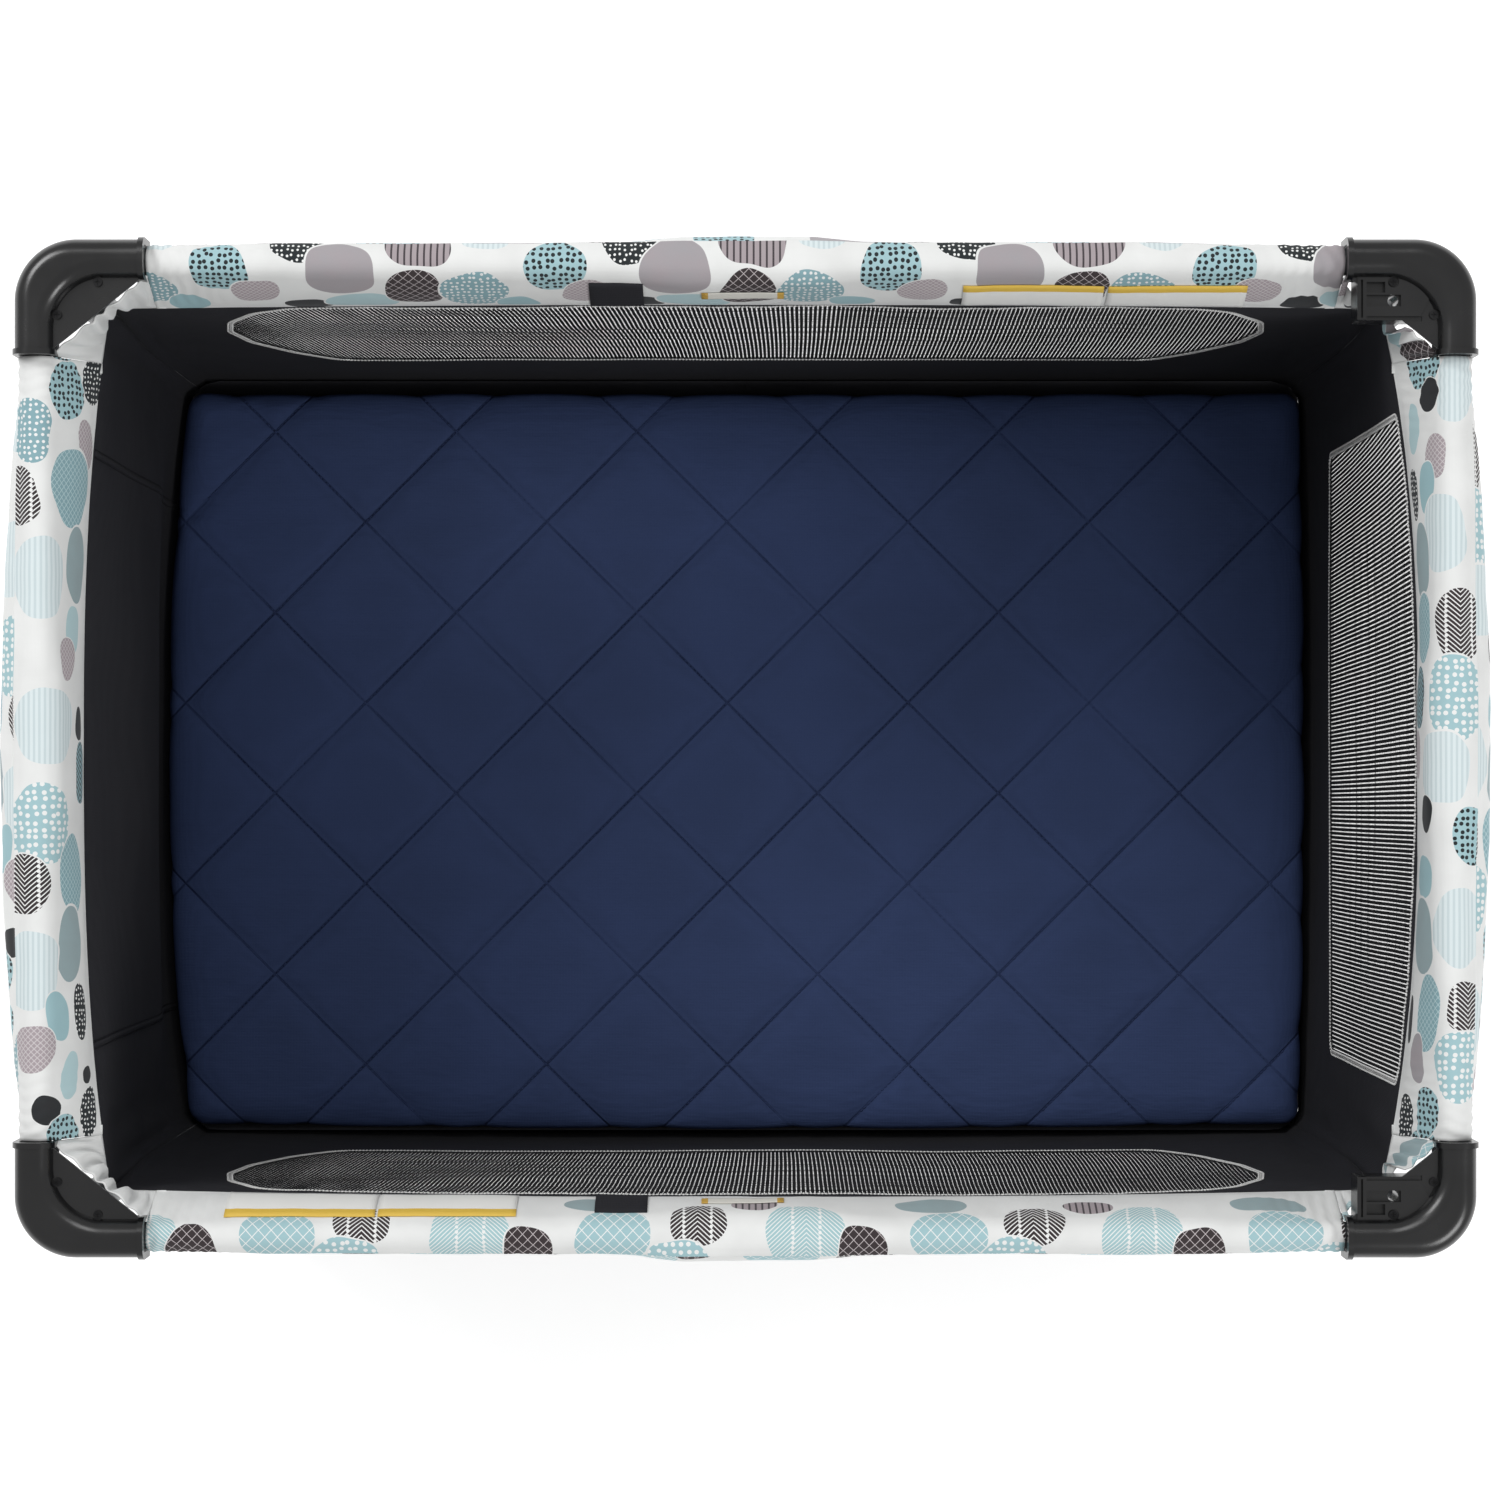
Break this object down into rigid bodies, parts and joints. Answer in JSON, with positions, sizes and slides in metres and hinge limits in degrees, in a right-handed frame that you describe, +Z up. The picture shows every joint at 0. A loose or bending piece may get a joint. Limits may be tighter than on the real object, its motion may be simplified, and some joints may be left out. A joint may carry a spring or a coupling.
{
  "type": "travel play yard",
  "caption": "Rectangular folding travel play yard with corner castings, padded printed rails, black mesh-sided walls and a navy diamond-quilted pad.",
  "frame": {"origin": "on the floor under the centre of the yard", "axes": "+X along the long side towards the end with the accessory sockets, +Y to the back, +Z up"},
  "size_m": [1.025, 0.715, 0.73],
  "materials": {
    "casting_plastic": "satin",
    "foot_plastic": "matte",
    "hub_plastic": "matte",
    "button_plastic": "matte",
    "wheel_plastic": "matte",
    "coated_steel": "satin",
    "fastener_steel": "satin",
    "print_fabric": "matte",
    "wall_fabric": "matte",
    "net": "matte",
    "mattress_cloth": "matte",
    "foam": "matte",
    "fibreboard": "matte",
    "strap_webbing": "matte"
  },
  "bodies": {
    "leg_back_left": {"corner_bracket_back_left": "casting_plastic", "leg_tube_back_left": "coated_steel", "leg_foot_back_left": "foot_plastic", "leg_fasteners_back_left": "fastener_steel", "wall_left": "wall_fabric"},
    "leg_front_left": {"corner_bracket_front_left": "casting_plastic", "leg_tube_front_left": "coated_steel", "leg_foot_front_left": "foot_plastic", "leg_fasteners_front_left": "fastener_steel", "wall_front": "wall_fabric", "mesh_front": "net"},
    "leg_front_right": {"corner_bracket_front_right": "casting_plastic", "leg_tube_front_right": "coated_steel", "leg_foot_front_right": "foot_plastic", "leg_fasteners_front_right": "fastener_steel", "wall_right": "wall_fabric", "mesh_right": "net"},
    "leg_back_right": {"corner_bracket_back_right": "casting_plastic", "leg_tube_back_right": "coated_steel", "leg_foot_back_right": "foot_plastic", "leg_fasteners_back_right": "fastener_steel", "wall_back": "wall_fabric", "mesh_back": "net"},
    "strut_back_left": {"floor_strut_back_left": "coated_steel"},
    "strut_front_left": {"floor_strut_front_left": "coated_steel"},
    "strut_front_right": {"floor_strut_front_right": "coated_steel"},
    "strut_back_right": {"floor_strut_back_right": "coated_steel"},
    "floor_hub": {"floor_hub": "hub_plastic", "floor_hub_rivets": "fastener_steel", "floor_hub_strap": "strap_webbing", "floor_fabric": "wall_fabric"},
    "rail_left_back": {"rail_tube_left_back": "coated_steel"},
    "rail_hub_left": {"rail_hub_left": "hub_plastic", "rail_latch_left": "fastener_steel", "rail_cover_left": "print_fabric"},
    "rail_left_front": {"rail_tube_left_front": "coated_steel"},
    "button_left": {"rail_button_left": "button_plastic"},
    "rail_front_left": {"rail_tube_front_left": "coated_steel"},
    "rail_hub_front": {"rail_hub_front": "hub_plastic", "rail_latch_front": "fastener_steel", "rail_cover_front": "print_fabric"},
    "rail_front_right": {"rail_tube_front_right": "coated_steel"},
    "button_front": {"rail_button_front": "button_plastic"},
    "rail_right_front": {"rail_tube_right_front": "coated_steel"},
    "rail_hub_right": {"rail_hub_right": "hub_plastic", "rail_latch_right": "fastener_steel", "rail_cover_right": "print_fabric"},
    "rail_right_back": {"rail_tube_right_back": "coated_steel"},
    "button_right": {"rail_button_right": "button_plastic"},
    "rail_back_right": {"rail_tube_back_right": "coated_steel"},
    "rail_hub_back": {"rail_hub_back": "hub_plastic", "rail_latch_back": "fastener_steel", "rail_cover_back": "print_fabric"},
    "rail_back_left": {"rail_tube_back_left": "coated_steel"},
    "button_back": {"rail_button_back": "button_plastic"},
    "mattress": {"mattress_cover": "mattress_cloth", "mattress_foam": "foam", "mattress_boards": "fibreboard"},
    "wheel_back_left": {"wheel_back_left": "wheel_plastic"},
    "wheel_front_left": {"wheel_front_left": "wheel_plastic"}
  },
  "joints": [
    {"name": "fold", "type": "hinge", "parent": "leg_back_left", "child": "strut_back_left", "pos_m": [-0.45466, 0.31263, 0.034], "axis": [-0.5382, -0.8428, 0], "range_deg": [0, 86], "deforming": ["wall_back", "wall_front", "wall_left", "wall_right", "mesh_back", "mesh_front", "mesh_right", "rail_cover_back", "rail_cover_front", "rail_cover_left", "rail_cover_right", "floor_fabric", "mattress_cover", "mattress_foam", "mattress_boards"]},
    {"name": "hub_level", "type": "hinge", "parent": "strut_back_left", "child": "floor_hub", "pos_m": [-0.03966, 0.04763, 0.034], "axis": [-0.5382, -0.8428, 0], "range_deg": [-86, 0]},
    {"name": "strut_front_left_fold", "type": "hinge", "parent": "floor_hub", "child": "strut_front_left", "pos_m": [-0.03966, -0.04763, 0.034], "axis": [0.5382, -0.8428, 0], "range_deg": [0, 86]},
    {"name": "leg_front_left_level", "type": "hinge", "parent": "strut_front_left", "child": "leg_front_left", "pos_m": [-0.45466, -0.31263, 0.034], "axis": [0.5382, -0.8428, 0], "range_deg": [-86, 0]},
    {"name": "strut_front_right_fold", "type": "hinge", "parent": "floor_hub", "child": "strut_front_right", "pos_m": [0.03966, -0.04763, 0.034], "axis": [0.5382, 0.8428, 0], "range_deg": [0, 86]},
    {"name": "leg_front_right_level", "type": "hinge", "parent": "strut_front_right", "child": "leg_front_right", "pos_m": [0.45466, -0.31263, 0.034], "axis": [0.5382, 0.8428, 0], "range_deg": [-86, 0]},
    {"name": "strut_back_right_fold", "type": "hinge", "parent": "floor_hub", "child": "strut_back_right", "pos_m": [0.03966, 0.04763, 0.034], "axis": [-0.5382, 0.8428, 0], "range_deg": [0, 86]},
    {"name": "leg_back_right_level", "type": "hinge", "parent": "strut_back_right", "child": "leg_back_right", "pos_m": [0.45466, 0.31263, 0.034], "axis": [-0.5382, 0.8428, 0], "range_deg": [-86, 0]},
    {"name": "rail_left_back_fold", "type": "hinge", "parent": "leg_back_left", "child": "rail_left_back", "pos_m": [-0.4965, 0.29, 0.706], "axis": [1, 0, 0], "range_deg": [0, 86]},
    {"name": "rail_hub_left_level", "type": "hinge", "parent": "rail_left_back", "child": "rail_hub_left", "pos_m": [-0.4965, 0.025, 0.706], "axis": [1, 0, 0], "range_deg": [-86, 0]},
    {"name": "rail_left_front_fold", "type": "hinge", "parent": "rail_hub_left", "child": "rail_left_front", "pos_m": [-0.4965, -0.025, 0.706], "axis": [-1, 0, 0], "range_deg": [0, 86]},
    {"name": "button_left_press", "type": "slide", "parent": "rail_hub_left", "child": "button_left", "axis": [0, 0, 1], "range_m": [0, 0.005], "stiffness_N_per_m": 300, "springref_m": -0.004},
    {"name": "rail_front_left_fold", "type": "hinge", "parent": "leg_front_left", "child": "rail_front_left", "pos_m": [-0.44, -0.3415, 0.706], "axis": [0, 1, 0], "range_deg": [0, 86]},
    {"name": "rail_hub_front_level", "type": "hinge", "parent": "rail_front_left", "child": "rail_hub_front", "pos_m": [-0.025, -0.3415, 0.706], "axis": [0, 1, 0], "range_deg": [-86, 0]},
    {"name": "rail_front_right_fold", "type": "hinge", "parent": "rail_hub_front", "child": "rail_front_right", "pos_m": [0.025, -0.3415, 0.706], "axis": [0, -1, 0], "range_deg": [0, 86]},
    {"name": "button_front_press", "type": "slide", "parent": "rail_hub_front", "child": "button_front", "axis": [0, 0, 1], "range_m": [0, 0.005], "stiffness_N_per_m": 300, "springref_m": -0.004},
    {"name": "rail_right_front_fold", "type": "hinge", "parent": "leg_front_right", "child": "rail_right_front", "pos_m": [0.4965, -0.29, 0.706], "axis": [-1, 0, 0], "range_deg": [0, 86]},
    {"name": "rail_hub_right_level", "type": "hinge", "parent": "rail_right_front", "child": "rail_hub_right", "pos_m": [0.4965, -0.025, 0.706], "axis": [-1, 0, 0], "range_deg": [-86, 0]},
    {"name": "rail_right_back_fold", "type": "hinge", "parent": "rail_hub_right", "child": "rail_right_back", "pos_m": [0.4965, 0.025, 0.706], "axis": [1, 0, 0], "range_deg": [0, 86]},
    {"name": "button_right_press", "type": "slide", "parent": "rail_hub_right", "child": "button_right", "axis": [0, 0, 1], "range_m": [0, 0.005], "stiffness_N_per_m": 300, "springref_m": -0.004},
    {"name": "rail_back_right_fold", "type": "hinge", "parent": "leg_back_right", "child": "rail_back_right", "pos_m": [0.44, 0.3415, 0.706], "axis": [0, -1, 0], "range_deg": [0, 86]},
    {"name": "rail_hub_back_level", "type": "hinge", "parent": "rail_back_right", "child": "rail_hub_back", "pos_m": [0.025, 0.3415, 0.706], "axis": [0, -1, 0], "range_deg": [-86, 0]},
    {"name": "rail_back_left_fold", "type": "hinge", "parent": "rail_hub_back", "child": "rail_back_left", "pos_m": [-0.025, 0.3415, 0.706], "axis": [0, 1, 0], "range_deg": [0, 86]},
    {"name": "button_back_press", "type": "slide", "parent": "rail_hub_back", "child": "button_back", "axis": [0, 0, 1], "range_m": [0, 0.005], "stiffness_N_per_m": 300, "springref_m": -0.004},
    {"name": "mattress_lift", "type": "slide", "parent": "leg_back_left", "child": "mattress", "axis": [0, 0, 1], "range_m": [0, 0.81]},
    {"name": "wheel_back_left_roll", "type": "hinge", "parent": "leg_back_left", "child": "wheel_back_left", "pos_m": [-0.49, 0.292, 0.024], "axis": [0, 1, 0], "continuous": true},
    {"name": "wheel_front_left_roll", "type": "hinge", "parent": "leg_front_left", "child": "wheel_front_left", "pos_m": [-0.49, -0.292, 0.024], "axis": [0, 1, 0], "continuous": true}
  ],
  "couplings": [
    {"joint": "hub_level", "follows": "fold", "ratio": -1},
    {"joint": "strut_front_left_fold", "follows": "fold", "ratio": 1},
    {"joint": "leg_front_left_level", "follows": "fold", "ratio": -1},
    {"joint": "strut_front_right_fold", "follows": "fold", "ratio": 1},
    {"joint": "leg_front_right_level", "follows": "fold", "ratio": -1},
    {"joint": "strut_back_right_fold", "follows": "fold", "ratio": 1},
    {"joint": "leg_back_right_level", "follows": "fold", "ratio": -1},
    {"joint": "rail_left_back_fold", "follows": "fold", "ratio": 1},
    {"joint": "rail_hub_left_level", "follows": "fold", "ratio": -1},
    {"joint": "rail_left_front_fold", "follows": "fold", "ratio": 1},
    {"joint": "rail_front_left_fold", "follows": "fold", "ratio": 1},
    {"joint": "rail_hub_front_level", "follows": "fold", "ratio": -1},
    {"joint": "rail_front_right_fold", "follows": "fold", "ratio": 1},
    {"joint": "rail_right_front_fold", "follows": "fold", "ratio": 1},
    {"joint": "rail_hub_right_level", "follows": "fold", "ratio": -1},
    {"joint": "rail_right_back_fold", "follows": "fold", "ratio": 1},
    {"joint": "rail_back_right_fold", "follows": "fold", "ratio": 1},
    {"joint": "rail_hub_back_level", "follows": "fold", "ratio": -1},
    {"joint": "rail_back_left_fold", "follows": "fold", "ratio": 1},
    {"joint": "mattress_lift", "follows": "fold", "m_per_rad": 0.533}
  ]
}
